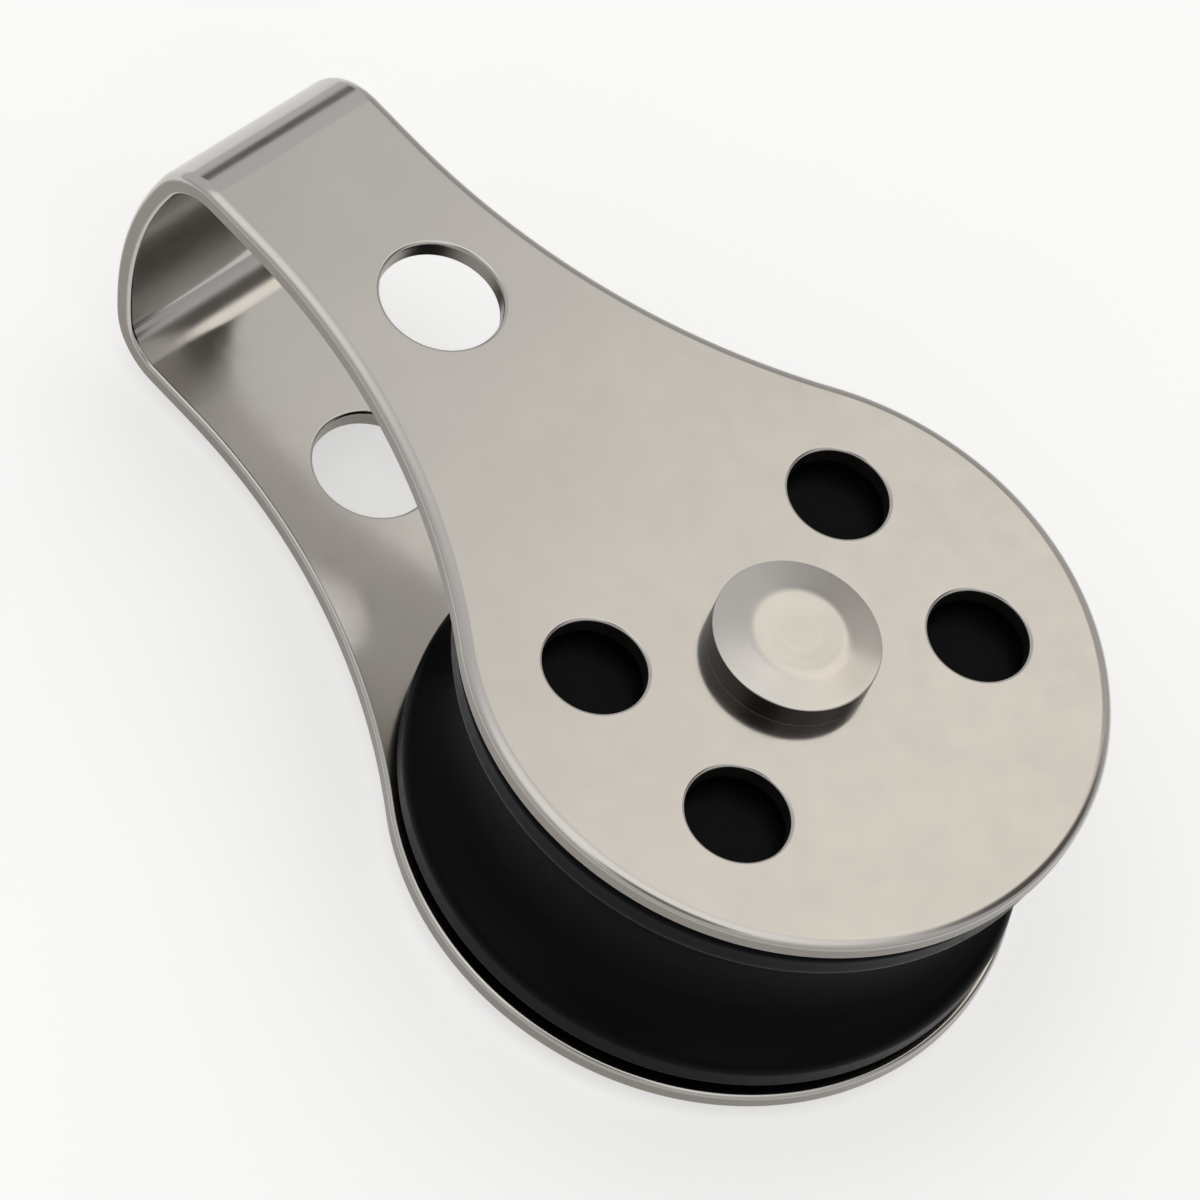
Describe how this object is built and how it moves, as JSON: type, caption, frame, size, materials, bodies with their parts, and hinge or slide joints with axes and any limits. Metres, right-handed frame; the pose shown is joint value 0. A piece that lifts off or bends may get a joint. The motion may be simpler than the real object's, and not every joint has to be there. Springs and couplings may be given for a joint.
{
  "type": "pulley block",
  "caption": "Small sheet-metal pulley block: round cheeks on a folded strap with a head pin hole, and a grooved plastic sheave on a riveted axle.",
  "frame": {"origin": "on the axle's axis, on the flat end of the rivet's tail, which is the surface that the block lies on", "axes": "+Z along the axle, out of the cheek with the rivet's head; +Y from the axle to the fold of the strap; +X across the cheeks"},
  "size_m": [0.026, 0.0448, 0.015],
  "materials": {
    "polished_sheet": "polished",
    "rivet_steel": "polished",
    "tube_steel": "satin",
    "black_nylon": "satin"
  },
  "bodies": {
    "block": {"strap": "polished_sheet", "axle_tube": "tube_steel", "axle_rivet": "rivet_steel"},
    "sheave": {"sheave": "black_nylon"}
  },
  "joints": [
    {"name": "sheave_spin", "type": "hinge", "parent": "block", "child": "sheave", "pos_m": [0, 0, 0.00725], "axis": [0, 0, 1], "continuous": true}
  ]
}
